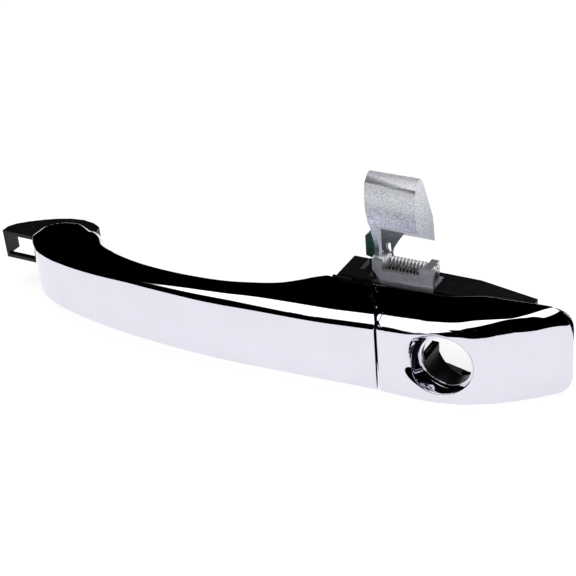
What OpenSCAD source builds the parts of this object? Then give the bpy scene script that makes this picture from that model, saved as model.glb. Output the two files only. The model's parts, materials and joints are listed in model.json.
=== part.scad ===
// Car door handle, right-hand side: a chromed pull strap that swings on a loop at its front end, a fixed
// chromed cap with the lock bore, and behind them the carrier with its counterweighted bell crank.
// X runs along the handle towards the lock, Y goes into the door, Z is up.
// The origin is on the axis of the mounting insert, in the plane of the cap's rear edge.

/* [Handle] */
// Half height of the strap at the parting line
strap_half_rear = 15.3; // [14:0.1:16]
// Half height of the strap at its pivot end
strap_half_front = 11.7; // [10.5:0.1:12.5]
// X of the rounded pivot end of the strap
strap_end_x = -164.8; // [-166:0.1:-164]
// Half height of the cap at the parting line
cap_half_front = 15.5; // [14.5:0.1:16]
// Half height of the cap at its rear end
cap_half_rear = 17.6; // [16.5:0.1:18]
// X of the rear tip of the cap
cap_end_x = 63.2; // [62.5:0.1:64]
// Width of the parting gap between strap and cap
parting_gap = 0.9; // [0.7:0.1:1.2]
// Wall of the chromed shells
shell_wall = 2.4; // [2:0.1:2.8]

/* [Lock] */
// Radius of the hole for the lock cylinder
lock_r = 9.6; // [9.2:0.1:9.8]
// Wall of the black sleeve behind the chrome lip
sleeve_wall = 1.7; // [1.2:0.1:1.9]
// Length of the sleeve on its long side
sleeve_len = 13.4; // [11:0.2:14]
// Width of the chrome lip round the hole
lip_width = 0.8; // [0.5:0.1:1]

/* [Bell crank] */
// Depth of the crank pin behind the cap's rear edge
pin_y = 8; // [7.8:0.1:8.2]
// Height of the crank pin
pin_z = 17; // [16.8:0.1:17.2]
// Radius of the crank pin
pin_r = 1.5; // [1.4:0.05:1.5]
// Radial clearance of the crank on its pin
pin_clearance = 0.05; // [0.03:0.01:0.08]
// Length of the crank's lower finger
finger_len = 22; // [21:0.5:22.5]
// Angle of the finger behind the vertical at rest
finger_angle = 35; // [34:1:36]

/* [Mounting] */
// Tapping radius of the M6 insert
insert_r = 2.5; // [2.4:0.05:2.6]
// Radius of the insert's body
insert_body_r = 4; // [3.8:0.1:4.2]
// Thickness of the rubber gaskets
gasket_t = 1.2; // [1:0.1:1.4]

/* [Hidden] */
$fn = 48;

// Outer face of strap and cap seen from above, as [x, y] points on a smooth curve
face_points = [[-166, -17.5], [-158, -22.6], [-150, -26.7], [-140, -30.2], [-120, -33.9], [-100, -35.5],
               [-80, -36], [-60, -35.4], [-40, -33.6], [-20, -31.5], [0, -29.4], [10, -28.9], [18, -28.2],
               [24, -26.9], [30, -25], [36, -22.1], [42, -18.5], [48, -14], [53, -9.8], [58, -5.2], [64, 0.5]];
// Finger side of the strap seen from above
grip_points = [[-140, 0], [-137.5, -1.4], [-134.5, -4], [-130.5, -8.3], [-124, -13.2], [-116, -16.2],
               [-104, -18.8], [-90, -20.1], [-78, -20.2], [-66, -19.3], [-56, -17], [-48, -13.2], [-41, -7.6],
               [-36, -2.6], [-33, 0]];
grip_start_x = grip_points[0][0];
grip_end_x = grip_points[len(grip_points) - 1][0];

// Parting line: it leaves the door plane at parting_back_x and reaches the face at x = 0
parting_back_x = -21;
parting_face_y = -28;
parting_power = 1.5;

// Where the strap's pivot end starts to round off, and the line it rounds towards
strap_round_x = -150;
strap_round_y = -10;
// Where the cap's rear end starts to round off
cap_round_x = 54;
// How much lower the rear edge of the top is beside the crank bracket
edge_drop = 3.2;
// How much the top bulges up along its front edge
crown_strap = 2.5;
crown_cap = 0.6;
face_edge_r = 3.6;
tip_edge_r = 0.8;
cap_brow_r = 7.5;
pad_edge_r = 6.2;
seat_edge_r = 0.9;
grip_edge_r = 2.4;
corner_steps = 4;

door_y = gasket_t;
housing_half = 13;
housing_wall = 2.4;
housing_back_y = 14.5;
housing_left_x = -33.5;
housing_right_x = 46.5;
cap_screw_places = [[9, 7.6], [-5, -7.2], [40.4, 0]];
cap_screw_r = 1.4;
cap_boss_r = 3;
bracket_screw_x = [-8.5, 1.5];
bracket_floor_z = 10.8;
bracket_floor_t = 2;
lock_x = 24;
lock_z = -0.3;
lock_y = -21.4;
lip_t = 0.8;
well_depth = 9;
well_rise = 3;
well_flare = 2.8;
arm_half = 6.4;
arm_front_y = -9;
arm_root_y = -14;
arm_screw_x = [-149.5, -155.8];
liner_screw_x = [-112, -60];
leg_screw_z = 7.1;
leg_screw_r = 1.2;
leg_x = -26;
plate_x = -16;
plate_t = 1.8;
weight_x = 4;
clip_axis = [12.2, 22.4];

function clamp01(u) = max(0, min(1, u));
function smooth(a, b, x) = let (u = clamp01((x - a) / (b - a))) u * u * (3 - 2 * u);
function segment(points, x, i = 0) =
    (i >= len(points) - 2 || x <= points[i + 1][0]) ? i : segment(points, x, i + 1);
function slope(points, i) =
    let (a = max(i - 1, 0), b = min(i + 1, len(points) - 1))
    (points[b][1] - points[a][1]) / (points[b][0] - points[a][0]);
// Smooth curve through a list of [x, y] points
function curve(points, x) =
    let (i = segment(points, x), p = points[i], q = points[i + 1], h = q[0] - p[0], u = (x - p[0]) / h)
    (2 * u * u * u - 3 * u * u + 1) * p[1] + (u * u * u - 2 * u * u + u) * h * slope(points, i)
    + (3 * u * u - 2 * u * u * u) * q[1] + (u * u * u - u * u) * h * slope(points, i + 1);

function face_y(x) = curve(face_points, x);
function parting_y(x) =
    x <= parting_back_x ? 0 : parting_face_y * pow((x - parting_back_x) / -parting_back_x, parting_power);
function strap_back_y(x) = (x > grip_start_x && x < grip_end_x) ? curve(grip_points, x) : parting_y(x);
function strap_half(x) = strap_half_rear + (strap_half_front - strap_half_rear) * x / strap_round_x;
function cap_half(x) = cap_half_front + (cap_half_rear - cap_half_front) * x / 59;
function rear_edge_drop(x) = edge_drop * smooth(-60, -25, x) * (1 - smooth(12, 34, x));
function grip_edge(x) =
    seat_edge_r + (grip_edge_r - seat_edge_r) * smooth(-150, -141, x) * (1 - smooth(-46, -36, x))
    + (pad_edge_r - grip_edge_r) * smooth(-150, -141, x) * (1 - smooth(-134, -122, x));
function strap_crown(x) = crown_strap * smooth(-146, -75, x) * (1 - 0.72 * smooth(-56, -16, x));
function strap_edge(x) = tip_edge_r + (face_edge_r - tip_edge_r) * smooth(-130, -60, x);
function cap_edge(x) =
    face_edge_r + (cap_brow_r - face_edge_r) * smooth(22, 42, x) * (1 - 0.7 * smooth(47, 58, x));

// One rounded corner of a section, as [y, z] points
function corner(y, z, r, start) =
    [for (i = [0:corner_steps]) let (a = start + 90 * i / corner_steps) [y + r * cos(a), z + r * sin(a)]];
// A section across the handle between y = yf and y = yb. high and low are its heights above and below the
// middle, each as [front, back], and radii are those of its upper front, lower front and rear edges.
function section(yf, yb, high, low, radii) =
    let (room = (yb - yf) / 2 - 0.02, t = max(0.05, min(radii[0], room)), f = max(0.05, min(radii[1], room)),
         b = max(0.05, min(radii[2], room)))
    concat(corner(yb - b, high[1] - b, b, 0), corner(yf + t, high[0] - t, t, 90),
           corner(yf + f, f - low[0], f, 180), corner(yb - b, b - low[1], b, 270));
function at_x(x, ring) = [for (p = ring) [x, p[0], p[1]]];

function strap_section(x, inset) =
    let (span = strap_round_x - strap_end_x - inset,
         u = clamp01((strap_round_x - x) / span), e = sqrt(max(0.03, 1 - u * u)),
         yf = strap_round_y + (face_y(x) + inset - strap_round_y) * e,
         yb = strap_round_y + (strap_back_y(x) - inset - strap_round_y) * e,
         high = strap_half(x) * pow(e, 0.12) - inset, low = strap_half(x) * pow(e, 0.45) - inset,
         drop = rear_edge_drop(x))
    section(yf, yb, [high + strap_crown(x), high - drop], [low, low - drop],
            [strap_edge(x) - inset, face_edge_r - inset, grip_edge(x) - inset / 2]);
function cap_section(x, inset) =
    let (u = clamp01((x - cap_round_x) / (cap_end_x - inset - cap_round_x)),
         e = pow(max(0.03, 1 - u * u), 0.14),
         yf = (x < parting_gap ? parting_y(x - parting_gap) : face_y(x)) + inset,
         h = cap_half(x) * e - inset, back = h - rear_edge_drop(x))
    section(yf, max(-inset, yf + 0.3), [h + crown_cap * e, back], [h, back],
            [cap_edge(x) - inset, face_edge_r - inset, seat_edge_r]);

// Skin over a row of sections that all have the same number of points
module loft(rings) {
    n = len(rings[0]);
    m = len(rings);
    sides = [for (i = [0:m - 2]) for (j = [0:n - 1])
        let (a = i * n + j, b = i * n + (j + 1) % n) each [[a, b + n, b], [a, a + n, b + n]]];
    polyhedron([for (r = rings) each r],
               concat([[for (j = [0:n - 1]) j]], sides, [[for (j = [n - 1:-1:0]) (m - 1) * n + j]]), 6);
}

// Plates cut across the handle, as seen from the end, and plates cut along it, as seen from the front
module across(x0, x1) { translate([x0, 0, 0]) rotate([90, 0, 90]) linear_extrude(x1 - x0) children(); }
module along(y0, y1) { translate([0, y1, 0]) rotate([90, 0, 0]) linear_extrude(y1 - y0) children(); }
module rod_x(x0, x1, y, z, r) { translate([x0, y, z]) rotate([0, 90, 0]) cylinder(h = x1 - x0, r = r); }
module rod_y(y0, y1, x, z, r) { translate([x, y0, z]) rotate([-90, 0, 0]) cylinder(h = y1 - y0, r = r); }
// A box between two corners
module block(a, b) { translate(a) cube(b - a); }
// A pan-head screw along Y, its head towards +Y and its seat at y = seat
module screw_y(x, z, seat, length, r) {
    rod_y(seat - length, seat, x, z, r);
    difference() {
        rod_y(seat, seat + 1.6 * r, x, z, 1.9 * r);
        for (a = [0, 90]) translate([x, seat + 1.6 * r, z]) rotate([0, a, 0])
            cube([2.2 * r, 1.8 * r, 0.5 * r], center = true);
    }
}
// The lock's own frame: origin at the centre of its mouth, +Y down the bore
module lock_frame() { translate([lock_x, lock_y, lock_z]) children(); }

/* Strap */

module strap_solid(inset, last_x) {
    round_steps = 8;
    first = 90 * 0.12;
    rounded = [for (i = [0:round_steps - 1])
        strap_round_x - (strap_round_x - strap_end_x - inset) * cos(first + (90 - first) * i / round_steps)];
    grip = [for (x = [strap_round_x:4.3:parting_back_x - 3]) x];
    foot = [for (i = [0:6]) parting_back_x + (last_x - parting_back_x) * i / 6];
    loft([for (x = concat(rounded, grip, foot)) at_x(x, strap_section(x, inset))]);
}

module liner_body(slack) {
    xs = [for (i = [0:24]) -123 - slack + (84 + 2 * slack) * i / 24];
    loft([for (x = xs) let (h = strap_half(x) - 4.4 + slack)
        at_x(x, section(strap_back_y(x) - shell_wall - slack, strap_back_y(x) - 0.02 + slack * 20,
                        [h, h], [h, h], [0.4, 0.4, 0.4]))]);
}

module strap_shell() color([0.86, 0.87, 0.9]) difference() {
    strap_solid(0, 0);
    strap_solid(shell_wall, -3.4);
    liner_body(0.15);
    block([-168, arm_front_y - 0.4, -arm_half - 0.3], [-143.4, 1, arm_half + 0.3]);
    block([-32.2, -8.4, -10.3], [-21.8, 1, 10.3]);
}

module strap_liner() color([0.07, 0.07, 0.08]) difference() {
    liner_body(0);
    for (x = liner_screw_x) rod_y(-40, 0, x, 0, 1.3);
}

function core_back_y(x) = x < -140 ? arm_root_y : min(-8, strap_back_y(x) - 3.4);
module strap_core() color([0.45, 0.46, 0.48]) difference() {
    union() {
        linear_extrude(12.4, center = true) polygon(concat(
            [for (x = [-158.5:5:-20]) [x, face_y(x) + 4.6 + 2.4 * smooth(-150, -160, x)]],
            [for (x = [-22:-4.5:-158]) [x, core_back_y(x)]]));
        block([-31.6, -26, -9.6], [-22.4, -8, 9.6]);
    }
    for (x = arm_screw_x) rod_y(-24, 0, x, 0, 1.6);
    for (x = liner_screw_x) rod_y(-40, 0, x, 0, 1.2);
    for (s = [-1, 1]) rod_y(-24, 0, leg_x, s * leg_screw_z, leg_screw_r);
}

module liner_screws() color([0.35, 0.36, 0.38])
    for (x = liner_screw_x) rod_y(strap_back_y(x) - 9, strap_back_y(x) - 0.6, x, 0, 1.2);

// The arm seen from above: a tapering plate that curves into the door behind the pad
arm_points = [[-184.2, arm_front_y], [-184.2, -5], [-182.2, -1.8], [-178, 1.8], [-173, 5.2], [-168, 8], [-162, 10.3],
              [-156, 11.2], [-150, 10.2], [-146, 8.2], [-145, 5], [-145, arm_root_y], [-160, arm_root_y],
              [-161.5, arm_front_y]];
module pivot_arm() color([0.09, 0.09, 0.1]) difference() {
    linear_extrude(2 * arm_half, center = true) polygon(arm_points);
    block([-182.5, -20, -4.7], [-167, 20, 4.7]);
    block([-190, arm_front_y + 2.4, -10], [-167, 20, -4.7]);
    translate([-174.6, -1.2, 0]) cylinder(h = 20, r = 1.3);
    for (x = arm_screw_x) {
        rod_y(-20, 20, x, 0, 1.7);
        rod_y(-6, 20, x, 0, 3.4);
    }
}

module arm_screws() color([0.6, 0.61, 0.63]) for (x = arm_screw_x) screw_y(x, 0, -6, 12, 1.6);

module pivot_pad_gasket() color([0.08, 0.08, 0.08]) along(0, door_y) difference() {
    translate([-153.2, 0]) resize([20, 21]) circle(r = 10);
    translate([-170, -arm_half - 0.3]) square([26.6, 2 * arm_half + 0.6]);
}

module strap_leg() color([0.1, 0.1, 0.11]) difference() {
    union() {
        block([-31.8, -8, -9.9], [-22.2, 0, 9.9]);
        block([-29.5, 0, -4.5], [-20.5, 28, 4.5]);
        block([-29.5, 24.2, -6.5], [-10.6, 28, 0.5]);
    }
    for (s = [-1, 1]) {
        rod_y(-20, 8, leg_x, s * leg_screw_z, leg_screw_r + 0.1);
        rod_y(-2.8, 0, leg_x, s * leg_screw_z, 2.5);
    }
}

module leg_screws() color([0.6, 0.61, 0.63])
    for (s = [-1, 1]) screw_y(leg_x, s * leg_screw_z, -2.8, 12, leg_screw_r);

module leg_bumper() color([0.08, 0.08, 0.08])
    for (s = [-1, 1]) block([-31.4, 0, s * 11.1 - 0.6], [-23, 1, s * 11.1 + 0.6]);

/* Cap and carrier */

module cap_solid(inset, first_x) {
    parting = [for (i = [0:7]) first_x + (parting_gap - first_x) * i / 7];
    face = [for (x = [2.5:4:52]) x];
    end_steps = 6;
    rounded = [for (i = [0:end_steps]) cap_round_x + (cap_end_x - inset - cap_round_x) * sin(84 * i / end_steps)];
    loft([for (x = concat(parting, face, rounded)) at_x(x, cap_section(x, inset))]);
}

module cap_shell() color([0.86, 0.87, 0.9]) difference() {
    union() {
        difference() {
            cap_solid(0, -18.6);
            cap_solid(shell_wall, -11);
            block([-9, -shell_wall - 1, -11], [48, 1, 11]);
        }
        intersection() {
            cap_solid(0.4, -11);
            union() {
                lock_frame() rod_y(-10, lip_t, 0, 0, lock_r + 3.2);
                for (p = cap_screw_places) rod_y(-35, -1, p[0], p[1], cap_boss_r);
            }
        }
    }
    block([6, -6.5, -20], [34, 1, -8]);
    lock_frame() {
        rod_y(-20, 20, 0, 0, lock_r);
        rod_y(lip_t, 20, 0, 0, lock_r + sleeve_wall + 0.05);
        hull() {
            rod_y(-0.01, 0, 0, 0, lock_r + lip_width, $fn = 32);
            rod_y(-well_depth, 0.01 - well_depth, 0, well_rise, lock_r + lip_width + well_flare, $fn = 32);
        }
    }
    for (p = cap_screw_places) rod_y(-12, 0, p[0], p[1], cap_screw_r);
}

module cap_screws() color([0.6, 0.61, 0.63])
    for (p = cap_screw_places) screw_y(p[0], p[1], door_y + housing_wall, 12, cap_screw_r);

module housing_plan(wall) {
    left = housing_left_x + wall;
    right = housing_right_x - wall;
    polygon([[left, door_y + wall], [left, 12.6], [left + 2 - wall / 2, housing_back_y],
             [23, housing_back_y], [right, 9.5 + wall / 5], [right, door_y + wall]]);
}

module base_housing() color([0.15, 0.15, 0.17]) difference() {
    union() {
        difference() {
            linear_extrude(2 * housing_half, center = true) housing_plan(0);
            linear_extrude(2 * (housing_half - housing_wall), center = true)
                offset(delta = 0.001) housing_plan(housing_wall);
            block([housing_left_x + housing_wall, 9, -housing_half + housing_wall], [23, 20, housing_half - housing_wall]);
        }
        rod_y(door_y, 13, 0, 0, insert_body_r + 2);
        block([-12.6, 3, 6.2], [5, housing_back_y, bracket_floor_z - 0.05]);
    }
    rod_y(-1, 12, 0, 0, insert_body_r);
    rod_y(0, 20, 0, 0, insert_r + 0.7);
    rod_y(0, 20, lock_x, lock_z, lock_r + 0.5);
    block([4.2, 0, -14], [38.5, 20, -4.9]);
    along(0, 20) polygon([[-34, 6], [-28.2, 14], [-34, 14]]);
    block([-31.2, 0, -5.4], [-10, 20, 5.4]);
    block([-17.4, 2.8, -9.5], [-13, 20, 14]);
    block([-22.8, 6.4, 8], [-13, 20, 14]);
    block([-17.4, 0, -9.5], [-10, 20, 4]);
    block([-15.6, 0, bracket_floor_z - 0.05], [9.6, 12.3, 14]);
    for (x = bracket_screw_x) translate([x, pin_y, 0]) cylinder(h = 14, r = 1.3);
    for (p = cap_screw_places) rod_y(0, 5, p[0], p[1], cap_screw_r + 0.1);
}

function gasket_edge(x, inset) = cap_half(x) * pow(max(0.05, 1 - pow(clamp01((x - cap_round_x) / 9.2), 2)), 0.14)
    - rear_edge_drop(x) - inset;
module gasket_outline(inset) {
    xs = [for (x = [-17.5 + inset:4:58]) x];
    tip = 60.5 - inset;
    polygon(concat([for (x = xs) [x, gasket_edge(x, 0.7 + inset)]], [[tip, gasket_edge(tip, 2 + inset)]],
                   [[tip, -gasket_edge(tip, 2 + inset)]],
                   [for (i = [len(xs) - 1:-1:0]) [xs[i], -gasket_edge(xs[i], 0.7 + inset)]]));
}
module cap_gasket() color([0.06, 0.06, 0.06]) along(0, door_y) difference() {
    gasket_outline(0);
    gasket_outline(2.6);
    translate([-17.6, -9.5]) square([4.6, 23]);
    translate([5, -20]) square([30, 11.5]);
}

module parting_seal() color([0.05, 0.05, 0.05]) linear_extrude(21, center = true) polygon(concat(
    [for (x = [-13:2:-3]) [x + 0.3, parting_y(x)]], [for (x = [-3:-2:-13]) [x + parting_gap - 0.2, parting_y(x)]]));

module lock_sleeve() color([0.06, 0.06, 0.07]) lock_frame() difference() {
    rod_y(lip_t + 0.5, sleeve_len, 0, 0, lock_r + sleeve_wall);
    rod_y(0, 20, 0, 0, lock_r);
    translate([0, sleeve_len - 5, 0]) rotate([0, 0, -27]) block([-30, 0, -20], [30, 30, 20]);
    block([-14, 2.2, -3.2], [4, 20, 14]);
}

module lock_seal() color([0.04, 0.04, 0.04]) lock_frame() difference() {
    rod_y(lip_t, lip_t + 0.5, 0, 0, lock_r + sleeve_wall);
    rod_y(0, 2, 0, 0, lock_r);
}

module lock_clip() color([0.3, 0.22, 0.16]) lock_frame() {
    block([-12.4, 8, -7], [-11.35, 16, -3.6]);
    block([-12.4, 15, -7], [-9.6, 16, -3.6]);
}

module mount_insert() color([0.8, 0.68, 0.35]) difference() {
    rod_y(-1.2, 11.8, 0, 0, insert_body_r);
    rod_y(-2, 13, 0, 0, insert_r);
}

/* Bell crank */

module crank_bracket() color([0.66, 0.67, 0.69]) difference() {
    union() {
        block([-12.4, 2, bracket_floor_z], [9.2, 12, bracket_floor_z + bracket_floor_t]);
        along(2, 3.6) polygon([[-15.3, 20.7], [-11.4, 20.7], [-11.4, 16.9], [3.6, 16.9], [3.6, 20.2], [9.2, 20.2],
                               [9.2, bracket_floor_z], [-10.7, bracket_floor_z], [-15.3, 16.4]]);
        across(-13.9, -11.4) polygon([[3, bracket_floor_z], [12, bracket_floor_z], [11.2, 18.6], [9.8, 20.6],
                                      [6.2, 20.6], [3, 19.2]]);
        across(4.5, 7.5) polygon([[3, bracket_floor_z], [12, bracket_floor_z], [12, 19.6], [3, 19.6]]);
    }
    rod_x(-20, 20, pin_y, pin_z, pin_r + 0.01);
    for (x = bracket_screw_x) translate([x, pin_y, 0]) {
        cylinder(h = 20, r = 1.6);
        translate([0, 0, bracket_floor_z + 0.6]) cylinder(h = 1.5, r1 = 1.6, r2 = 3.1);
    }
}

module bracket_screws() color([0.6, 0.61, 0.63]) for (x = bracket_screw_x) translate([x, pin_y, 0]) difference() {
    union() {
        translate([0, 0, 6.4]) cylinder(h = 5.2, r = 1.3);
        translate([0, 0, bracket_floor_z + 0.6]) cylinder(h = 1.35, r1 = 1.5, r2 = 2.85);
    }
    for (a = [0, 90]) translate([0, 0, 12.8]) rotate([0, 0, a]) cube([3.2, 0.7, 1.2], center = true);
}

module pivot_pin() color([0.75, 0.76, 0.78]) difference() {
    union() {
        rod_x(-17.2, 8.8, pin_y, pin_z, pin_r);
        rod_x(-17.2, -16.3, pin_y, pin_z, 2.5);
    }
    difference() {
        rod_x(7.6, 8.3, pin_y, pin_z, 2);
        rod_x(7.5, 8.4, pin_y, pin_z, 1.15);
    }
}

module pin_clip() color([0.3, 0.3, 0.32]) difference() {
    rod_x(7.65, 8.25, pin_y, pin_z, 2.9);
    rod_x(7, 9, pin_y, pin_z, 1.17);
    block([7, pin_y - 0.95, pin_z - 4], [9, pin_y + 0.95, pin_z]);
}

module spring_sleeve() color([0.85, 0.84, 0.8]) difference() {
    rod_x(-11.2, 4.3, pin_y, pin_z, 1.95);
    rod_x(-12, 5, pin_y, pin_z, 1.55);
}

// The counterweight seen from the end: upright face, bevelled top and raked back
weight_points = [[2, 35.2], [0.4, 41], [-0.1, 46.3], [0.5, 51], [1, 53], [3.4, 55.3], [5.4, 55.8], [7.6, 53.4], [12.7, 41.5],
                 [15, 36.2], [15.8, 31.5], [16.2, 25]];
side_points = [[2.6, 35.2], [6.4, 24], [6, 21], [pin_y - 2.6, pin_z + 1], [pin_y + 2.8, pin_z - 1], [16.2, 25.2]];
module bell_crank() color([0.8, 0.8, 0.82]) difference() {
    union() {
        across(plate_x, weight_x) polygon(weight_points);
        across(plate_x, plate_x + plate_t) {
            polygon(side_points);
            translate([pin_y, pin_z]) circle(r = 3.9);
            translate([pin_y, pin_z]) rotate(finger_angle) translate([-2.6, -finger_len]) square([4.8, finger_len]);
        }
        rod_x(plate_x, -11.2, pin_y + finger_len * sin(finger_angle), pin_z - finger_len * cos(finger_angle), 2.4);
        along(8.6, 10) polygon([[plate_x, 33], [-2.6, 33], [-7, 27], [-9.4, 23], [-10.4, 21.3], [plate_x, 21.3]]);
    }
    rod_x(-30, 30, pin_y, pin_z, pin_r + pin_clearance);
    rod_x(-18, -12, clip_axis[0], clip_axis[1], 1.7);
    along(0, 20) polygon([for (a = [0:20:340]) [-11.2 + 1.1 * cos(a), 23.3 + 2.1 * sin(a)]]);
}

// The spring's wire: a coil round the pin, with one tail up behind the crank's web
wire_r = 0.42;
coil_r = 2.6;
coil_turns = 10;
coil_x0 = -10.5;
coil_x1 = 3.7;
function coil_point(t) =
    let (a = -360 * coil_turns * t) [coil_x0 + (coil_x1 - coil_x0) * t, pin_y + coil_r * cos(a), pin_z + coil_r * sin(a)];
spring_path = concat(
    [[coil_x0 - 0.6, pin_y + coil_r, pin_z + 8], [coil_x0 - 0.3, pin_y + coil_r, pin_z + 3]],
    [for (i = [0:coil_turns * 12]) coil_point(i / coil_turns / 12)]);
function wire_ring(i) =
    let (p = spring_path, t = p[min(i + 1, len(p) - 1)] - p[max(i - 1, 0)], d = t / norm(t),
         s = cross(d, [1, 0.02, 0.01]), u = s / norm(s), v = cross(d, u))
    [for (k = [0:7]) p[i] + wire_r * (cos(45 * k) * u + sin(45 * k) * v)];
module torsion_spring() color([0.7, 0.7, 0.72]) loft([for (i = [0:len(spring_path) - 1]) wire_ring(i)]);

module rod_clip() color([0.13, 0.36, 0.27]) difference() {
    union() {
        along(clip_axis[0] - 2.7, clip_axis[0] + 2.7) polygon([[-21.4, 17.3], [-21.4, 25.8], [-19.6, 27.1],
                                                              [-17.6, 27.1], [-17.6, 16.8], [-18.8, 16.8]]);
        rod_x(-18, -13.8, clip_axis[0], clip_axis[1], 1.6);
    }
    translate([-19.9, clip_axis[0] + 0.6, 0]) cylinder(h = 60, r = 1.2);
}

strap_shell();
strap_liner();
strap_core();
liner_screws();
pivot_arm();
arm_screws();
pivot_pad_gasket();
strap_leg();
leg_screws();
leg_bumper();
cap_shell();
cap_screws();
base_housing();
cap_gasket();
parting_seal();
lock_sleeve();
lock_seal();
lock_clip();
mount_insert();
crank_bracket();
bracket_screws();
pivot_pin();
pin_clip();
spring_sleeve();
bell_crank();
torsion_spring();
rod_clip();
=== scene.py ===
"""Car door handle: chromed pull strap, chromed lock cap and the bell crank behind it, on a pale floor."""

import json
import math

import bmesh
import bpy
from mathutils import Matrix, Vector

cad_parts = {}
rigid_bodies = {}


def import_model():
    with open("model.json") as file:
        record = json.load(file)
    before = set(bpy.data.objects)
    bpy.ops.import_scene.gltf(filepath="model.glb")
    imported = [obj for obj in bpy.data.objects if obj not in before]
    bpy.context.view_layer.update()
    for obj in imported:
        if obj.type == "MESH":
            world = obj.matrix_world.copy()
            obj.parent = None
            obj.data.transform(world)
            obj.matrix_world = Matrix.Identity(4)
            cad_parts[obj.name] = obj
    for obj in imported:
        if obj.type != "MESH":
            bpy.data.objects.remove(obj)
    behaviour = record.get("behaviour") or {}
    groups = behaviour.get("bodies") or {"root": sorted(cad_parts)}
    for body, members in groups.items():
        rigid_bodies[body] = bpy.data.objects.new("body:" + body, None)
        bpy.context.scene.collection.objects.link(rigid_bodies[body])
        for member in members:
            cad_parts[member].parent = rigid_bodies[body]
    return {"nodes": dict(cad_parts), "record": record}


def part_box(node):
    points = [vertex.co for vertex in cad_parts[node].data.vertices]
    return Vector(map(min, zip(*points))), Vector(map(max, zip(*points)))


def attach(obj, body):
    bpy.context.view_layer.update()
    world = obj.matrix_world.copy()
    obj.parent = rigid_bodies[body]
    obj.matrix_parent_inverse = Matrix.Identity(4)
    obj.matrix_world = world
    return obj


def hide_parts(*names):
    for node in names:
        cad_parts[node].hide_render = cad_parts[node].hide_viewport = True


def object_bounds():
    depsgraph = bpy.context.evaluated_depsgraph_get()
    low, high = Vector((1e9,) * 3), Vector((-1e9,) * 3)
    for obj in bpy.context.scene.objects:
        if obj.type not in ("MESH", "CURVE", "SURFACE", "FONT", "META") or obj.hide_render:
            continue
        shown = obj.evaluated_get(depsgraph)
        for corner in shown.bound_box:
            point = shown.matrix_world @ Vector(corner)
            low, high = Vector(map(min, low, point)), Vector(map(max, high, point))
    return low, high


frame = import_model()
cad_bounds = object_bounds()
NODES = frame["nodes"]
NODE_SLOT = {part["node"]: part["material_slot"] for part in frame["record"]["subparts"]}
NODE_BODY = {n: b for b, members in frame["record"]["behaviour"]["bodies"].items() for n in members}
MM = 0.001

# ---------------------------------------------------------------- shape of the handle, in millimetres

FACE_POINTS = [
    (-166, -17.5), (-158, -22.6), (-150, -26.7), (-140, -30.2), (-120, -33.9), (-100, -35.5), (-80, -36),
    (-60, -35.4), (-40, -33.6), (-20, -31.5), (0, -29.4), (10, -28.9), (18, -28.2), (24, -26.9),
    (30, -25), (36, -22.1), (42, -18.5), (48, -14), (53, -9.8), (58, -5.2), (64, 0.5),
]
GRIP_POINTS = [
    (-140, 0), (-137.5, -1.4), (-134.5, -4), (-130.5, -8.3), (-124, -13.2), (-116, -16.2), (-104, -18.8),
    (-90, -20.1), (-78, -20.2), (-66, -19.3), (-56, -17), (-48, -13.2), (-41, -7.6), (-36, -2.6), (-33, 0),
]
PARTING_BACK_X = -21.0
PARTING_FACE_Y = -28.0
PARTING_POWER = 1.5
STRAP_ROUND_X = -150.0
STRAP_END_X = -164.8
STRAP_ROUND_Y = -10.0
CAP_ROUND_X = 54.0
CAP_END_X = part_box("cap_shell")[1].x / MM + 0.05
CAP_FRONT_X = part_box("cap_shell")[0].x / MM
PARTING_GAP = 0.9
EDGE_DROP = 3.2
CROWN_STRAP = 1.9
CROWN_CAP = 0.6
FACE_EDGE_R = 3.6
SEAT_EDGE_R = 0.9
GRIP_EDGE_R = 2.4
PAD_EDGE_R = 6.2
# Radii of the upper front edge along x: low part of the edge, then the part that runs out into the top
STRAP_LOW_R = [
    (-166, 0.5), (-143, 0.6), (-125, 0.9), (-102, 1.5), (-91, 2.4), (-63, 3.6), (-29, 3.1), (0, 3.2),
]
STRAP_HIGH_R = [
    (-166, 0.5), (-143, 0.6), (-125, 0.9), (-102, 1.6), (-91, 2.8), (-63, 6.0), (-29, 8.0), (0, 8.2),
]
CAP_LOW_R = [
    (-20, 1.5), (15, 1.5), (20, 2.2), (26, 3.5), (30, 5), (34, 8.4), (38.5, 10.5), (45, 12.0), (49, 10),
    (54, 5.8), (62, 4.6),
]
CAP_HIGH_R = [
    (-20, 10.5), (15, 10.5), (20, 9), (26, 7), (30, 6), (34, 5.3), (38.5, 3.3), (45, 0.4), (49, 4), (54, 10),
    (62, 10),
]
PARTING_EDGE_R = 0.5
WALL = 2.4
LOCK = Vector((24.0, -21.4, -0.3))
LOCK_R = 9.6
LIP_R = LOCK_R + 0.8
LIP_T = 0.8
WELL_DEPTH = 9.0
WELL_RISE = 3.0
WELL_FLARE = 2.8
BOSS_R = LOCK_R + 3.2
# Drain notch in the cap's lower rear edge
NOTCH_X = (6.0, 34.0)
NOTCH_Y = -6.5
NOTCH_Z = -8.0
# Openings in the strap's back, along x: the arm's slot, the liner's window and the leg's slot
ARM_SLOT_END_X = -143.4
LINER_X = (-123.15, -38.85)
LEG_SLOT_X = (-32.2, -21.8)
ARM_SLOT_HALF = 6.7
LEG_SLOT_HALF = 10.3
LINER_INSET = 4.25
# Opening in the cap's back
CAP_BACK_X = (-9, 48)
CAP_BACK_HALF = 11.0


def clamp01(u):
    return max(0.0, min(1.0, u))


def smooth(a, b, x):
    u = clamp01((x - a) / (b - a))
    return u * u * (3 - 2 * u)


def slope(points, i):
    a, b = max(i - 1, 0), min(i + 1, len(points) - 1)
    return (points[b][1] - points[a][1]) / (points[b][0] - points[a][0])


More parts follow.
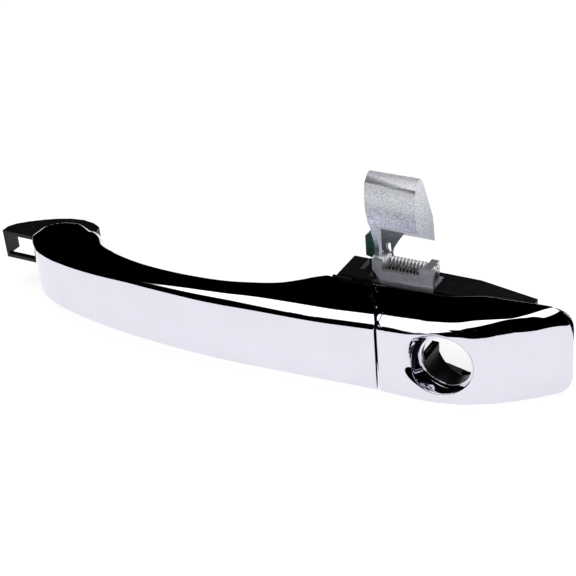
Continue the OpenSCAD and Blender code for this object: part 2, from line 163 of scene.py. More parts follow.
def curve(points, x):
    """Smooth curve through a list of (x, y) points."""
    i = 0
    while i < len(points) - 2 and x > points[i + 1][0]:
        i += 1
    p, q = points[i], points[i + 1]
    h = q[0] - p[0]
    u = (x - p[0]) / h
    return (
        (2 * u**3 - 3 * u**2 + 1) * p[1]
        + (u**3 - 2 * u**2 + u) * h * slope(points, i)
        + (3 * u**2 - 2 * u**3) * q[1]
        + (u**3 - u**2) * h * slope(points, i + 1)
    )


def face_y(x):
    return curve(FACE_POINTS, x)


def parting_y(x):
    if x <= PARTING_BACK_X:
        return 0.0
    return PARTING_FACE_Y * ((x - PARTING_BACK_X) / -PARTING_BACK_X) ** PARTING_POWER


def strap_back_y(x):
    inside = GRIP_POINTS[0][0] < x < GRIP_POINTS[-1][0]
    return curve(GRIP_POINTS, x) if inside else parting_y(x)


def strap_half(x):
    return 15.3 + (11.7 - 15.3) * x / STRAP_ROUND_X


def cap_half(x):
    return 15.5 + (17.6 - 15.5) * x / 59


def rear_edge_drop(x):
    return EDGE_DROP * smooth(-60, -25, x) * (1 - smooth(12, 34, x))


def grip_edge(x):
    start = smooth(-150, -141, x)
    return (
        SEAT_EDGE_R
        + (GRIP_EDGE_R - SEAT_EDGE_R) * start * (1 - smooth(-46, -36, x))
        + (PAD_EDGE_R - GRIP_EDGE_R) * start * (1 - smooth(-134, -122, x))
    )


def strap_crown(x):
    return CROWN_STRAP * smooth(-146, -75, x) * (1 - 0.72 * smooth(-56, -16, x))


def edge_round(distance, radius):
    """How far a face falls back at this distance from a rounded edge."""
    if distance >= radius:
        return 0.0
    return radius - math.sqrt(max(0.0, radius**2 - (radius - distance) ** 2))


def corner(y, z, r, start, steps):
    angles = [math.radians(start + 90 * i / steps) for i in range(steps + 1)]
    return [(y + r * math.cos(a), z + r * math.sin(a)) for a in angles]


def between(p, q, count):
    parts = count + 1
    return [(p[0] + (q[0] - p[0]) * i / parts, p[1] + (q[1] - p[1]) * i / parts) for i in range(1, parts)]


CORNER_STEPS = 12
BROW_STEPS = 10
SIDE_CUTS = 5
FRONT_CUTS = 19
SIN45 = math.sqrt(0.5)
CUT_BEVEL = 0.3


class Brow:
    """The upper front edge in section: a low arc from the face to 45 degrees, a high arc into the top."""

    def __init__(self, yf, top, low_r, high_r):
        self.low_r = low_r
        self.high_r = high_r
        self.yf = yf
        self.start_z = top - SIN45 * low_r - (1 - SIN45) * high_r
        self.high_y = yf + (1 - SIN45) * low_r + SIN45 * high_r
        self.high_z = top - high_r

    def y_at(self, z):
        if z <= self.start_z:
            return self.yf
        if z <= self.start_z + SIN45 * self.low_r:
            return self.yf + self.low_r - math.sqrt(self.low_r**2 - (z - self.start_z) ** 2)
        return self.high_y - math.sqrt(max(0.0, self.high_r**2 - (z - self.high_z) ** 2))

    def points(self, lean):
        """Points from the top, where it leans back by this many degrees, forwards and down to the face."""
        out = []
        low_y = self.yf + self.low_r
        for i in range(BROW_STEPS + 1):
            a = math.radians(90 - lean + (45 + lean) * i / BROW_STEPS)
            out.append((self.high_y + self.high_r * math.cos(a), self.high_z + self.high_r * math.sin(a)))
        for i in range(1, BROW_STEPS + 1):
            a = math.radians(135 + 45 * i / BROW_STEPS)
            out.append((low_y + self.low_r * math.cos(a), self.start_z + self.low_r * math.sin(a)))
        return out


def crossing(p, q, y):
    u = (y - p[0]) / (q[0] - p[0])
    return p[1] + (q[1] - p[1]) * u


def cut_rear(points, y, end_z):
    """Points running forwards, cut off behind the plane at y; the ones cut off are laid along the plane."""
    bevel = min(CUT_BEVEL, 0.4 * (y - points[-1][0]))
    k = next(i for i, p in enumerate(points) if p[0] < y - bevel)
    if k == 0:
        return points
    z = crossing(points[k - 1], points[k], y - bevel)
    if k == 1:
        return [(y, z)] + points[1:]
    foot = z - math.copysign(bevel, z)
    wall = [(y, end_z + (foot - end_z) * i / max(1, k - 2)) for i in range(k - 1)]
    return wall + [(y - bevel, z)] + points[k:]


def cut_front(points, y, end_z):
    """The same for points running forwards and cut off in front of the plane at y."""
    mirrored = [(-p[0], p[1]) for p in reversed(points)]
    return [(-p[0], p[1]) for p in reversed(cut_rear(mirrored, -y, end_z))]


def ring(yf, yb, high, low, brow_radii, rb, back_cut, front_cut=None, rear_cut=None, notch_y=None):
    """A section across the handle as (y, z) points; the last four close the back face at +-back_cut."""
    room = (yb - yf) / 2 - 0.02
    f = max(0.03, min(FACE_EDGE_R, room))
    b = max(0.03, min(rb, room))
    brow = Brow(yf, high[0], *brow_radii)
    cut = max(0.02, min(back_cut, high[1] - b - 0.05, low[1] - b - 0.05))
    if brow.high_y < yb - b - 0.5:
        dy, dz = yb - b - brow.high_y, high[1] - b - brow.high_z
        apart = math.hypot(dy, dz)
        lean = math.degrees(math.atan2(dy, dz) - math.acos(max(-1.0, min(1.0, (brow.high_r - b) / apart))))
        lean = max(-20.0, min(60.0, lean))
        a1 = [
            (yb - b + b * math.cos(a), high[1] - b + b * math.sin(a))
            for a in (math.radians((90 - lean) * i / CORNER_STEPS) for i in range(CORNER_STEPS + 1))
        ]
        front = brow.points(lean)
        top = a1 + between(a1[-1], front[0], SIDE_CUTS) + front
    else:
        behind = CORNER_STEPS + 1 + SIDE_CUTS
        top = [(brow.high_y + 1.5 * (behind - i), high[0]) for i in range(behind)] + brow.points(0)
        rear_cut = yb
    a3 = corner(yf + f, f - low[0], f, 180, CORNER_STEPS)
    a4 = corner(yb - b, b - low[1], b, 270, CORNER_STEPS)
    if notch_y is None:
        side = between(a3[-1], a4[0], SIDE_CUTS)
    else:
        y = max(notch_y, (a3[-1][0] + a4[0][0]) / 2)
        middle = (y, crossing(a3[-1], a4[0], y))
        side = between(a3[-1], middle, SIDE_CUTS - 2) + [middle] + between(middle, a4[0], 1)
    bottom = a3 + side + a4
    if rear_cut is not None:
        top = cut_rear(top, rear_cut, high[1] - b)
    if rear_cut is not None and rear_cut < yb:
        bottom = cut_rear(bottom[::-1], rear_cut, b - low[1])[::-1]
    if front_cut is not None:
        top = cut_front(top, front_cut, high[0] - 6)
        bottom = cut_front(bottom[::-1], front_cut, 6 - low[0])[::-1]
    back = yb if rear_cut is None else rear_cut
    return top + between(top[-1], bottom[0], FRONT_CUTS) + bottom + [(back, -cut), (back, 0.0), (back, cut)]


def back_cut_at(x):
    """Half height of the openings in the strap's back at x."""
    grip = strap_half(x) - LINER_INSET
    if x < ARM_SLOT_END_X:
        return ARM_SLOT_HALF
    if x < LINER_X[0]:
        return ARM_SLOT_HALF + (grip - ARM_SLOT_HALF) * (x - ARM_SLOT_END_X) / (LINER_X[0] - ARM_SLOT_END_X)
    if x < LINER_X[1]:
        return grip
    if x < LEG_SLOT_X[0]:
        return grip + (LEG_SLOT_HALF - grip) * (x - LINER_X[1]) / (LEG_SLOT_X[0] - LINER_X[1])
    return LEG_SLOT_HALF


def strap_ring(x):
    u = clamp01((STRAP_ROUND_X - x) / (STRAP_ROUND_X - STRAP_END_X))
    e = math.sqrt(max(0.002, 1 - u * u))
    parted = x > PARTING_BACK_X
    yf = STRAP_ROUND_Y + (face_y(x) - STRAP_ROUND_Y) * e
    yb = 0.0 if parted else STRAP_ROUND_Y + (strap_back_y(x) - STRAP_ROUND_Y) * e
    yf += edge_round(-x, PARTING_EDGE_R)
    high, low, drop = strap_half(x) * e**0.12, strap_half(x) * e**0.45, rear_edge_drop(x)
    brow_radii = curve(STRAP_LOW_R, x), curve(STRAP_HIGH_R, x)
    return ring(
        yf, yb, (high + strap_crown(x), high - drop), (low, low - drop), brow_radii, grip_edge(x),
        back_cut_at(x), rear_cut=parting_y(x) if parted else None,
    )


def cap_end_factor(x):
    u = clamp01((x - CAP_ROUND_X) / (CAP_END_X - CAP_ROUND_X))
    return max(0.02, 1 - u * u) ** 0.14


def cap_top(x):
    return (cap_half(x) + CROWN_CAP * (1 - smooth(40, 52, x))) * cap_end_factor(x)


def cap_brow_radii(x):
    return curve(CAP_LOW_R, x), max(0.3, curve(CAP_HIGH_R, x))


def cap_ring(x):
    parted = x < PARTING_GAP
    yf = face_y(x) + (0.0 if parted else edge_round(x - PARTING_GAP, PARTING_EDGE_R))
    h = cap_half(x) * cap_end_factor(x)
    back = h - rear_edge_drop(x)
    rear_r = SEAT_EDGE_R + (CUT_BEVEL - SEAT_EDGE_R) * smooth(40, 50, x)
    return ring(
        yf, max(0.0, yf + 0.3), (cap_top(x), back), (h, back), cap_brow_radii(x), rear_r, CAP_BACK_HALF,
        front_cut=parting_y(x - PARTING_GAP) if parted else None, notch_y=NOTCH_Y,
    )


def spaced(a, b, step):
    count = max(1, round(abs(b - a) / step))
    return [a + (b - a) * i / count for i in range(count + 1)]


def merged(*runs):
    out = []
    for run in runs:
        for x in run:
            if not out or abs(x - out[-1]) > 1e-4:
                out.append(x)
    return out


def new_object(name, bm):
    me = bpy.data.meshes.new(name)
    bm.normal_update()
    bm.to_mesh(me)
    bm.free()
    o = bpy.data.objects.new(name, me)
    bpy.context.scene.collection.objects.link(o)
    return o


def place(o, node, *more):
    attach(o, NODE_BODY[node])
    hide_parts(node, *more)
    paint(o, NODE_SLOT[node])
    return o


def smooth_by_angle(o, degrees):
    o.data.shade_smooth()
    o.data.set_sharp_from_angle(angle=math.radians(degrees))


def weigh_normals(o):
    m = o.modifiers.new("normals", "WEIGHTED_NORMAL")
    m.keep_sharp = True
    m.weight = 60


# ---------------------------------------------------------------- materials


def noise(tree, coords, scale, detail, stretch=(1, 1, 1)):
    mapping = tree.nodes.new("ShaderNodeMapping")
    mapping.inputs["Scale"].default_value = stretch
    tex = tree.nodes.new("ShaderNodeTexNoise")
    tex.inputs["Scale"].default_value = scale
    tex.inputs["Detail"].default_value = detail
    tree.links.new(coords, mapping.inputs["Vector"])
    tree.links.new(mapping.outputs["Vector"], tex.inputs["Vector"])
    return tex.outputs["Fac"]


def make_material(
    name, low, high, metallic, rough, spread, scale, bump, bump_scale, stretch=(1, 1, 1), gloss=0.5, heights=None
):
    """Colour mottled from low to high, roughness that varies by spread, and a fine bump. With a range of heights,
    the colour also goes from low to high over that range of z, in metres: painted shade, darker towards the
    bottom."""
    mat = bpy.data.materials.new(name)
    mat.use_nodes = True
    tree = mat.node_tree
    shader = tree.nodes["Principled BSDF"]
    coords = tree.nodes.new("ShaderNodeTexCoord").outputs["Object"]
    ramp = tree.nodes.new("ShaderNodeValToRGB")
    ramp.color_ramp.elements[0].position = 0.35
    ramp.color_ramp.elements[1].position = 0.65
    ramp.color_ramp.elements[0].color = (*low, 1)
    ramp.color_ramp.elements[1].color = (*high, 1)
    mottle = noise(tree, coords, scale, 4, stretch)
    # Painted shade: the colour darkens towards the bottom of the given range of z
    if heights is not None:
        split = tree.nodes.new("ShaderNodeSeparateXYZ")
        tree.links.new(coords, split.inputs["Vector"])
        rise = tree.nodes.new("ShaderNodeMapRange")
        rise.inputs["From Min"].default_value, rise.inputs["From Max"].default_value = heights
        rise.inputs["To Min"].default_value, rise.inputs["To Max"].default_value = -0.3, 0.3
        tree.links.new(split.outputs["Z"], rise.inputs["Value"])
        total = tree.nodes.new("ShaderNodeMath")
        tree.links.new(rise.outputs["Result"], total.inputs[0])
        tree.links.new(mottle, total.inputs[1])
        mottle = total.outputs["Value"]
    tree.links.new(mottle, ramp.inputs["Fac"])
    tree.links.new(ramp.outputs["Color"], shader.inputs["Base Color"])
    spread_map = tree.nodes.new("ShaderNodeMapRange")
    spread_map.inputs["To Min"].default_value = rough - spread
    spread_map.inputs["To Max"].default_value = rough + spread
    tree.links.new(noise(tree, coords, scale * 2.3, 3, stretch), spread_map.inputs["Value"])
    tree.links.new(spread_map.outputs["Result"], shader.inputs["Roughness"])
    if bump > 0:
        bump_node = tree.nodes.new("ShaderNodeBump")
        bump_node.inputs["Strength"].default_value = bump
        bump_node.inputs["Distance"].default_value = 0.0002
        tree.links.new(noise(tree, coords, bump_scale, 3, stretch), bump_node.inputs["Height"])
        tree.links.new(bump_node.outputs["Normal"], shader.inputs["Normal"])
    shader.inputs["Metallic"].default_value = metallic
    shader.inputs["Specular IOR Level"].default_value = gloss
    return mat


MATERIALS = {
    slot: make_material(name, *values, **extras)
    for slot, name, values, extras in (
        ("chrome_plate", "chrome",
         ((0.735, 0.722, 0.802), (0.755, 0.742, 0.824), 1.0, 0.025, 0.012, 60, 0, 0), {}),
        ("arm_nylon", "arm",
         ((0.003, 0.003, 0.004), (0.006, 0.006, 0.008), 0, 0.36, 0.06, 300, 0.15, 1500), {"gloss": 0.2}),
        ("liner_plastic", "liner",
         ((0.010, 0.010, 0.011), (0.017, 0.017, 0.019), 0, 0.42, 0.08, 300, 0.3, 1800), {}),
        ("core_metal", "core",
         ((0.20, 0.20, 0.21), (0.30, 0.30, 0.31), 0.8, 0.45, 0.1, 200, 0.2, 900), {}),
        ("housing_plastic", "housing",
         ((0.004, 0.004, 0.005), (0.008, 0.008, 0.010), 0, 0.42, 0.08, 260, 0.2, 1400), {"gloss": 0.18}),
        ("seal_rubber", "rubber",
         ((0.004, 0.004, 0.005), (0.008, 0.008, 0.009), 0, 0.6, 0.08, 400, 0.3, 2200), {"gloss": 0.2}),
        ("sleeve_plastic", "sleeve",
         ((0.006, 0.005, 0.005), (0.014, 0.012, 0.011), 0, 0.32, 0.08, 350, 0.2, 1200), {"stretch": (1, 0.2, 1)}),
        ("clip_bronze", "bronze",
         ((0.055, 0.030, 0.018), (0.10, 0.06, 0.035), 0.5, 0.4, 0.1, 300, 0.1, 900), {}),
        ("insert_brass", "brass",
         ((0.55, 0.40, 0.16), (0.68, 0.50, 0.22), 1.0, 0.3, 0.08, 260, 0.1, 900), {}),
        ("crank_zinc", "crank",
         # Painted shade on the crank: its colour darkens towards the bottom, from 66 down to 16 mm in z
         ((0.33, 0.36, 0.42), (0.76, 0.77, 0.80), 0.75, 0.33, 0.08, 1700, 0.22, 900), {"heights": (0.016, 0.066)}),
        ("bracket_zinc", "bracket",
         ((0.70, 0.72, 0.75), (0.82, 0.84, 0.87), 0.6, 0.36, 0.07, 420, 0.12, 900), {}),
        ("screw_steel", "steel",
         ((0.42, 0.42, 0.44), (0.58, 0.58, 0.60), 1.0, 0.30, 0.08, 500, 0.1, 1200), {}),
        ("spring_steel", "spring",
         ((0.50, 0.50, 0.52), (0.66, 0.66, 0.68), 1.0, 0.24, 0.06, 600, 0.05, 1500), {}),
        ("bush_nylon", "bush",
         ((0.50, 0.49, 0.46), (0.62, 0.61, 0.57), 0, 0.45, 0.06, 300, 0.1, 1200), {}),
        ("clip_green", "green",
         ((0.012, 0.085, 0.050), (0.025, 0.135, 0.085), 0, 0.36, 0.06, 300, 0.12, 1200), {}),
    )
}


def paint(o, slot_name):
    o.data.materials.clear()
    o.data.materials.append(MATERIALS[slot_name])


# ---------------------------------------------------------------- chromed skins


def loft(xs, ring_at):
    """Closed skin over the sections at xs: the mesh, its rows of vertices and its faces by (row, column)."""
    bm = bmesh.new()
    rows = [[bm.verts.new((x * MM, y * MM, z * MM)) for y, z in ring_at(x)] for x in xs]
    n = len(rows[0])
    quads = {}
    for i in range(len(rows) - 1):
        for j in range(n):
            k = (j + 1) % n
            quads[i, j] = bm.faces.new((rows[i][j], rows[i][k], rows[i + 1][k], rows[i + 1][j]))
    bm.faces.new(rows[0][::-1])
    bm.faces.new(rows[-1])
    return bm, rows, quads


def back_columns(n):
    """The ring columns between the two cuts of the back face."""
    return (n - 3, n - 2)


TIP_STEPS = 44
tip_angles = [math.radians(4 + 86 * i / TIP_STEPS) for i in range(TIP_STEPS)]
strap_xs = merged(
    [STRAP_ROUND_X - (STRAP_ROUND_X - STRAP_END_X) * math.cos(a) for a in tip_angles],
    spaced(STRAP_ROUND_X, ARM_SLOT_END_X, 0.6),
    spaced(ARM_SLOT_END_X, LINER_X[0], 0.5),
    spaced(LINER_X[0], LINER_X[1], 0.8),
    spaced(LINER_X[1], LEG_SLOT_X[0], 0.5),
    spaced(LEG_SLOT_X[0], LEG_SLOT_X[1], 0.5),
    spaced(LEG_SLOT_X[1], -0.6, 0.4),
    spaced(-0.6, 0.0, 0.05),
)
bm, rows, quads = loft(strap_xs, strap_ring)
openings = ((STRAP_END_X - 1, ARM_SLOT_END_X), LINER_X, LEG_SLOT_X)
doomed = []
for (i, j), f in quads.items():
    mid = (strap_xs[i] + strap_xs[i + 1]) / 2
    if j in back_columns(len(rows[0])) and any(a < mid < b for a, b in openings):
        doomed.append(f)
bmesh.ops.delete(bm, geom=doomed, context="FACES")
bmesh.ops.recalc_face_normals(bm, faces=bm.faces)
rims = [e for e in bm.edges if e.is_boundary]
made = bmesh.ops.extrude_edge_only(bm, edges=rims)
for v in made["geom"]:
    if isinstance(v, bmesh.types.BMVert):
        x = v.co.x / MM
        depth = min(WALL, 0.3 * (v.co.y / MM - face_y(x))) if x > -160 else 0.2
        v.co.y -= depth * MM
strap = new_object("strap_skin", bm)
smooth_by_angle(strap, 35)
weigh_normals(strap)
place(strap, "strap_shell")


def cap_front_y(x, z):
    """Outer face of the cap at (x, z)."""
    if z > 0:
        low_r, high_r = cap_brow_radii(x)
        return Brow(face_y(x), cap_top(x), low_r, high_r).y_at(z)
    over = min(FACE_EDGE_R, max(0.0, -z - (cap_half(x) * cap_end_factor(x) - FACE_EDGE_R)))
    return face_y(x) + FACE_EDGE_R - math.sqrt(max(0.0, FACE_EDGE_R**2 - over**2))


def well_reach(angle, t):
    """Distance of the well's wall from the lock axis, t from 0 at the lip to 1 at full flare."""
    rise = WELL_RISE * t
    return rise * math.sin(angle) + math.sqrt((LIP_R + WELL_FLARE * t) ** 2 - (rise * math.cos(angle)) ** 2)


def well_point(angle, t):
    r = well_reach(angle, t)
    return Vector((LOCK.x + r * math.cos(angle), LOCK.y - WELL_DEPTH * t, LOCK.z + r * math.sin(angle)))


def well_edge(angle):
    low, high = 0.0, 1.2
    for _ in range(40):
        t = (low + high) / 2
        p = well_point(angle, t)
        if cap_front_y(p.x, p.z) < p.y:
            low = t
        else:
            high = t
    return (low + high) / 2


def scoop(angle):
    """Radius of the rounding between face and well: soft towards the strap, crisp elsewhere."""
    away = math.degrees(abs((angle - math.radians(158) + math.pi) % (2 * math.pi) - math.pi))
    return 0.5 + 3.4 * (1 - smooth(10, 70, away))


PATCH_X = (3.4, 42.0)
END_STEPS = 40
end_angles = [math.radians(88 * i / END_STEPS) for i in range(END_STEPS + 1)]
cap_xs = merged(
    spaced(CAP_FRONT_X, 0.5, 0.6),
    [0.5, PARTING_GAP - 0.002],
    [PARTING_GAP + PARTING_EDGE_R * u for u in (0.0, 0.04, 0.14, 0.3, 0.5, 0.75, 1.0)],
    spaced(PARTING_GAP + PARTING_EDGE_R, PATCH_X[0], 0.5),
    spaced(PATCH_X[0], NOTCH_X[0], 0.6),
    spaced(NOTCH_X[0], NOTCH_X[1], 0.6),
    spaced(NOTCH_X[1], PATCH_X[1], 0.6),
    spaced(PATCH_X[1], CAP_ROUND_X, 0.6),
    [CAP_ROUND_X + (CAP_END_X - CAP_ROUND_X) * math.sin(a) for a in end_angles],
)
bm, rows, quads = loft(cap_xs, cap_ring)
n = len(rows[0])
i0, i1 = (min(range(len(cap_xs)), key=lambda i: abs(cap_xs[i] - edge)) for edge in PATCH_X)
top_start = CORNER_STEPS + 1 + SIDE_CUTS
j0 = top_start + BROW_STEPS
j1 = top_start + (2 * BROW_STEPS + 1) + FRONT_CUTS + 5
doomed = [f for (i, j), f in quads.items() if i0 <= i < i1 and j0 <= j < j1]
doomed += [f for (i, j), f in quads.items() if j in back_columns(n) and CAP_BACK_X[0] < cap_xs[i] < CAP_BACK_X[1]]
notch_j = top_start + (2 * BROW_STEPS + 1) + FRONT_CUTS + (CORNER_STEPS + 1) + SIDE_CUTS - 2
notched = [
    f for (i, j), f in quads.items()
    if notch_j <= j < n - 3 and NOTCH_X[0] - 0.01 < cap_xs[i] and cap_xs[i + 1] < NOTCH_X[1] + 0.01
]
doomed += notched
notch_edges = {e for f in notched for e in f.edges}
notch_rim = [e for e in notch_edges if sum(f in notched for f in e.link_faces) == 1]
border = (
    [rows[i][j0] for i in range(i0, i1)]
    + [rows[i1][j] for j in range(j0, j1)]
    + [rows[i][j1] for i in range(i1, i0, -1)]
    + [rows[i0][j] for j in range(j1, j0, -1)]
)
bmesh.ops.delete(bm, geom=doomed, context="FACES")
made = bmesh.ops.extrude_edge_only(bm, edges=[e for e in notch_rim if e.is_valid and e.is_boundary])
for v in made["geom"]:
    if isinstance(v, bmesh.types.BMVert):
        v.co.z += WALL * MM
SURFACE_STEPS, ROUND_STEPS, WALL_STEPS = 9, 10, 8
columns = []
for v in border:
    x, z = v.co.x / MM - LOCK.x, v.co.z / MM - LOCK.z
    angle, reach = math.atan2(z, x), math.hypot(x, z)
    ux, uz = math.cos(angle), math.sin(angle)
    t_edge = well_edge(angle)
    edge = well_point(angle, t_edge)
    r_edge = well_reach(angle, t_edge)
    soft = min(scoop(angle), 0.8 * (reach - r_edge))
    r_start = r_edge + soft
    column = [v]
    for k in range(1, SURFACE_STEPS + 1):
        r = reach + (r_start - reach) * k / SURFACE_STEPS
        px, pz = LOCK.x + r * ux, LOCK.z + r * uz
        column.append(bm.verts.new((px * MM, cap_front_y(px, pz) * MM, pz * MM)))
    first = column[-1].co / MM
    t_wall = max(t_edge * 0.12, t_edge - soft * 1.5 / WELL_DEPTH)
    last = well_point(angle, t_wall)
    for k in range(1, ROUND_STEPS + 1):
        s = k / ROUND_STEPS
        p = first * (1 - s) ** 2 + edge * 2 * s * (1 - s) + last * s * s
        column.append(bm.verts.new(p * MM))
    for k in range(1, WALL_STEPS + 1):
        p = well_point(angle, t_wall * (1 - k / WALL_STEPS))
        column.append(bm.verts.new(p * MM))
    for r, y in (
        (LIP_R - 0.06, LOCK.y), (LOCK_R + 0.14, LOCK.y), (LOCK_R + 0.04, LOCK.y + 0.04),
        (LOCK_R, LOCK.y + 0.14), (LOCK_R, LOCK.y + LIP_T), (BOSS_R, LOCK.y + LIP_T), (BOSS_R, LOCK.y - 3.0),
    ):
        y = max(y, cap_front_y(LOCK.x + r * ux, LOCK.z + r * uz) + 0.7) if r == BOSS_R else y
        column.append(bm.verts.new(((LOCK.x + r * ux) * MM, y * MM, (LOCK.z + r * uz) * MM)))
    columns.append(column)
for a, b in zip(columns, columns[1:] + columns[:1]):
    for k in range(len(a) - 1):
        bm.faces.new((a[k], b[k], b[k + 1], a[k + 1]))
bmesh.ops.recalc_face_normals(bm, faces=bm.faces)
cap = new_object("cap_skin", bm)
smooth_by_angle(cap, 35)
weigh_normals(cap)
place(cap, "cap_shell")

# The cap's inner faces, bosses and rear rim
inner = bmesh.new()
inner.from_mesh(NODES["cap_shell"].data)
doomed = []
for f in inner.faces:
    c = f.calc_center_median() / MM
    rim = f.normal.y > 0.9 and c.y > -0.05
    near_lock = math.hypot(c.x - LOCK.x, c.z - LOCK.z) < BOSS_R + 0.5 and c.y < LOCK.y + LIP_T + 0.1
    h = cap_half(c.x) * cap_end_factor(c.x)
    yf = parting_y(c.x - PARTING_GAP) if c.x < PARTING_GAP else face_y(c.x)
    skin_z = h - rear_edge_drop(c.x) * smooth(yf, 0, c.y)
    deep = c.y > yf + 1.0 and abs(c.z) < skin_z - 1.0 and c.x < CAP_END_X - 1.2
    on_notch = c.z < NOTCH_Z and (
        abs(c.y - NOTCH_Y) < 0.01 or abs(c.x - NOTCH_X[0]) < 0.01 or abs(c.x - NOTCH_X[1]) < 0.01
    )
    if near_lock or on_notch or not (rim or deep):
        doomed.append(f)
bmesh.ops.delete(inner, geom=doomed, context="FACES")
bmesh.ops.remove_doubles(inner, verts=inner.verts, dist=1e-6)
inner_cap = new_object("cap_inside", inner)
smooth_by_angle(inner_cap, 30)
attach(inner_cap, NODE_BODY["cap_shell"])
paint(inner_cap, "chrome_plate")


# ---------------------------------------------------------------- moulded and cast parts with broken edges


def refined(node, width, segments=2, angle=30):
    """The CAD piece welded, its flat faces merged, its edges broken by a small bevel."""
    bm = bmesh.new()
    bm.from_mesh(NODES[node].data)
    bmesh.ops.remove_doubles(bm, verts=bm.verts, dist=2e-6)
    bmesh.ops.dissolve_limit(bm, angle_limit=math.radians(0.6), verts=bm.verts, edges=bm.edges)
    o = new_object(node + "_fine", bm)
    smooth_by_angle(o, angle)
    m = o.modifiers.new("edges", "BEVEL")
    m.width = width * MM
    m.segments = segments
    m.limit_method = "ANGLE"
    m.angle_limit = math.radians(angle)
    m.use_clamp_overlap = True
    m.harden_normals = True
    return place(o, node)


for node, width in (
    ("pivot_arm", 0.45), ("base_housing", 0.35), ("strap_leg", 0.4), ("crank_bracket", 0.3),
    ("bell_crank", 0.3), ("rod_clip", 0.35), ("lock_sleeve", 0.2), ("lock_clip", 0.1), ("pivot_pin", 0.2),
    ("pin_clip", 0.12), ("cap_gasket", 0.3), ("pivot_pad_gasket", 0.3), ("arm_screws", 0.25),
    ("leg_screws", 0.2), ("cap_screws", 0.2), ("bracket_screws", 0.2), ("strap_liner", 0.25),
    ("leg_bumper", 0.2), ("mount_insert", 0.3),
):
    refined(node, width)

for node in ("strap_core", "liner_screws", "parting_seal", "lock_seal", "spring_sleeve", "torsion_spring"):
    NODES[node].data.materials.clear()
    NODES[node].data.materials.append(MATERIALS[NODE_SLOT[node]])


def wire(name, path, radius, sides=10):
    """A closed loop of round wire lying in an x-z plane."""
    bm = bmesh.new()
    rings = []
    for i, p in enumerate(path):
        along = (path[(i + 1) % len(path)] - path[i - 1]).normalized()
        side = Vector((0, 1, 0))
        other = along.cross(side)
        rings.append([
            bm.verts.new((p + (side * math.cos(a) + other * math.sin(a)) * radius) * MM)
            for a in (2 * math.pi * k / sides for k in range(sides))
        ])
    for a, b in zip(rings, rings[1:] + rings[:1]):
        for k in range(sides):
            bm.faces.new((a[k], a[(k + 1) % sides], b[(k + 1) % sides], b[k]))
    bmesh.ops.recalc_face_normals(bm, faces=bm.faces)
    return new_object(name, bm)


# The eye at the spring's end
EYE_AT = Vector((-10.9, 9.2, 23.0))
EYE_HALF_WIDTH, EYE_HALF_HEIGHT, EYE_WIRE_R = 1.2, 2.3, 0.3
eye_path = [
    EYE_AT + Vector((EYE_HALF_WIDTH * math.cos(a), 0, EYE_HALF_HEIGHT * math.sin(a)))
    for a in (math.radians(10 * k) for k in range(36))
]
eye = wire("spring_eye", eye_path, EYE_WIRE_R)
smooth_by_angle(eye, 60)
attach(eye, NODE_BODY["torsion_spring"])
paint(eye, NODE_SLOT["torsion_spring"])

# These are left out of reflections, so that the chrome in front of them stays plain black. Real chrome
# would mirror them.
UNMIRRORED = (
    "crank_bracket", "bell_crank", "rod_clip", "torsion_spring", "bracket_screws", "pivot_pin",
    "spring_sleeve", "pin_clip", "spring_eye",
)
for o in bpy.data.objects:
    if o.name.startswith(UNMIRRORED):
        o.visible_glossy = False

# ---------------------------------------------------------------- floor, light and camera

FLOOR_Z = cad_bounds[0].z - 0.0006
floor_bm = bmesh.new()
FLOOR_HALF = 5.0
FLOOR_GLOW = 0.86
floor_bm.faces.new([
    floor_bm.verts.new((sx * FLOOR_HALF, sy * FLOOR_HALF, FLOOR_Z))
    for sx, sy in ((-1, -1), (1, -1), (1, 1), (-1, 1))
])
floor = new_object("floor", floor_bm)
floor_mat = make_material("floor_paper", (0.28, 0.28, 0.285), (0.32, 0.32, 0.32), 0, 0.8, 0.05, 3, 0, 0)
floor_shader = floor_mat.node_tree.nodes["Principled BSDF"]
floor_shader.inputs["Emission Color"].default_value = (1, 1, 1, 1)
floor_shader.inputs["Emission Strength"].default_value = FLOOR_GLOW
floor.data.materials.append(floor_mat)

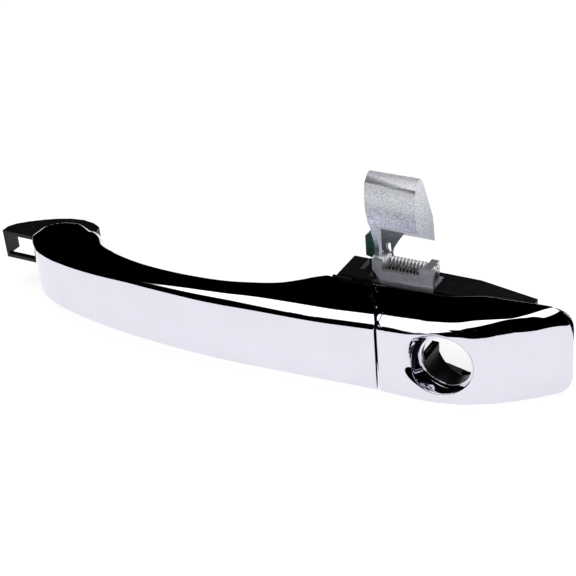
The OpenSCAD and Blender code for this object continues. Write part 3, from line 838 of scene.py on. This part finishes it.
CAMERA_AT = Vector((0.1912, -0.3979, 0.2789))
YAW, PITCH, ROLL = math.radians(31.36), math.radians(30.75), math.radians(-5.27)
forward = Vector((-math.sin(YAW) * math.cos(PITCH), math.cos(YAW) * math.cos(PITCH), -math.sin(PITCH)))
level = forward.cross(Vector((0, 0, 1))).normalized()
upright = level.cross(forward)
right = level * math.cos(ROLL) + upright * math.sin(ROLL)
up = upright * math.cos(ROLL) - level * math.sin(ROLL)
camera_data = bpy.data.cameras.new("camera")
camera_data.lens = 87.5
camera_data.sensor_width = 36
camera_data.clip_start = 0.01
camera_data.clip_end = 50
camera = bpy.data.objects.new("camera", camera_data)
camera.matrix_world = Matrix((
    (right.x, up.x, -forward.x, CAMERA_AT.x),
    (right.y, up.y, -forward.y, CAMERA_AT.y),
    (right.z, up.z, -forward.z, CAMERA_AT.z),
    (0, 0, 0, 1),
))
bpy.context.scene.collection.objects.link(camera)
bpy.context.scene.camera = camera

world = bpy.data.worlds.new("studio")
bpy.context.scene.world = world
world.use_nodes = True
tree = world.node_tree
background = tree.nodes["Background"]
direction = tree.nodes.new("ShaderNodeTexCoord").outputs["Generated"]


# Sine of the elevation of each direction
rise = tree.nodes.new("ShaderNodeVectorMath")
rise.operation = "DOT_PRODUCT"
rise.inputs[1].default_value = (0, 0, 1)
tree.links.new(direction, rise.inputs[0])
# A round softbox straight overhead, seen from the handle above about 56 degrees; black elsewhere
SOFTBOX_EDGE = (54.5, 58)
SOFTBOX_GLOW = 2.0
softbox = tree.nodes.new("ShaderNodeMapRange")
softbox.interpolation_type = "SMOOTHSTEP"
softbox.inputs["From Min"].default_value = math.sin(math.radians(SOFTBOX_EDGE[0]))
softbox.inputs["From Max"].default_value = math.sin(math.radians(SOFTBOX_EDGE[1]))
softbox.inputs["To Min"].default_value = 0.0
softbox.inputs["To Max"].default_value = SOFTBOX_GLOW
tree.links.new(rise.outputs["Value"], softbox.inputs["Value"])
background.inputs["Color"].default_value = (1.0, 1.0, 1.02, 1)
tree.links.new(softbox.outputs["Result"], background.inputs["Strength"])

scene = bpy.context.scene
scene.view_settings.view_transform = "Standard"
scene.view_settings.look = "None"
scene.view_settings.exposure = 0
scene.view_settings.gamma = 1
scene.cycles.max_bounces = 8
scene.cycles.glossy_bounces = 6
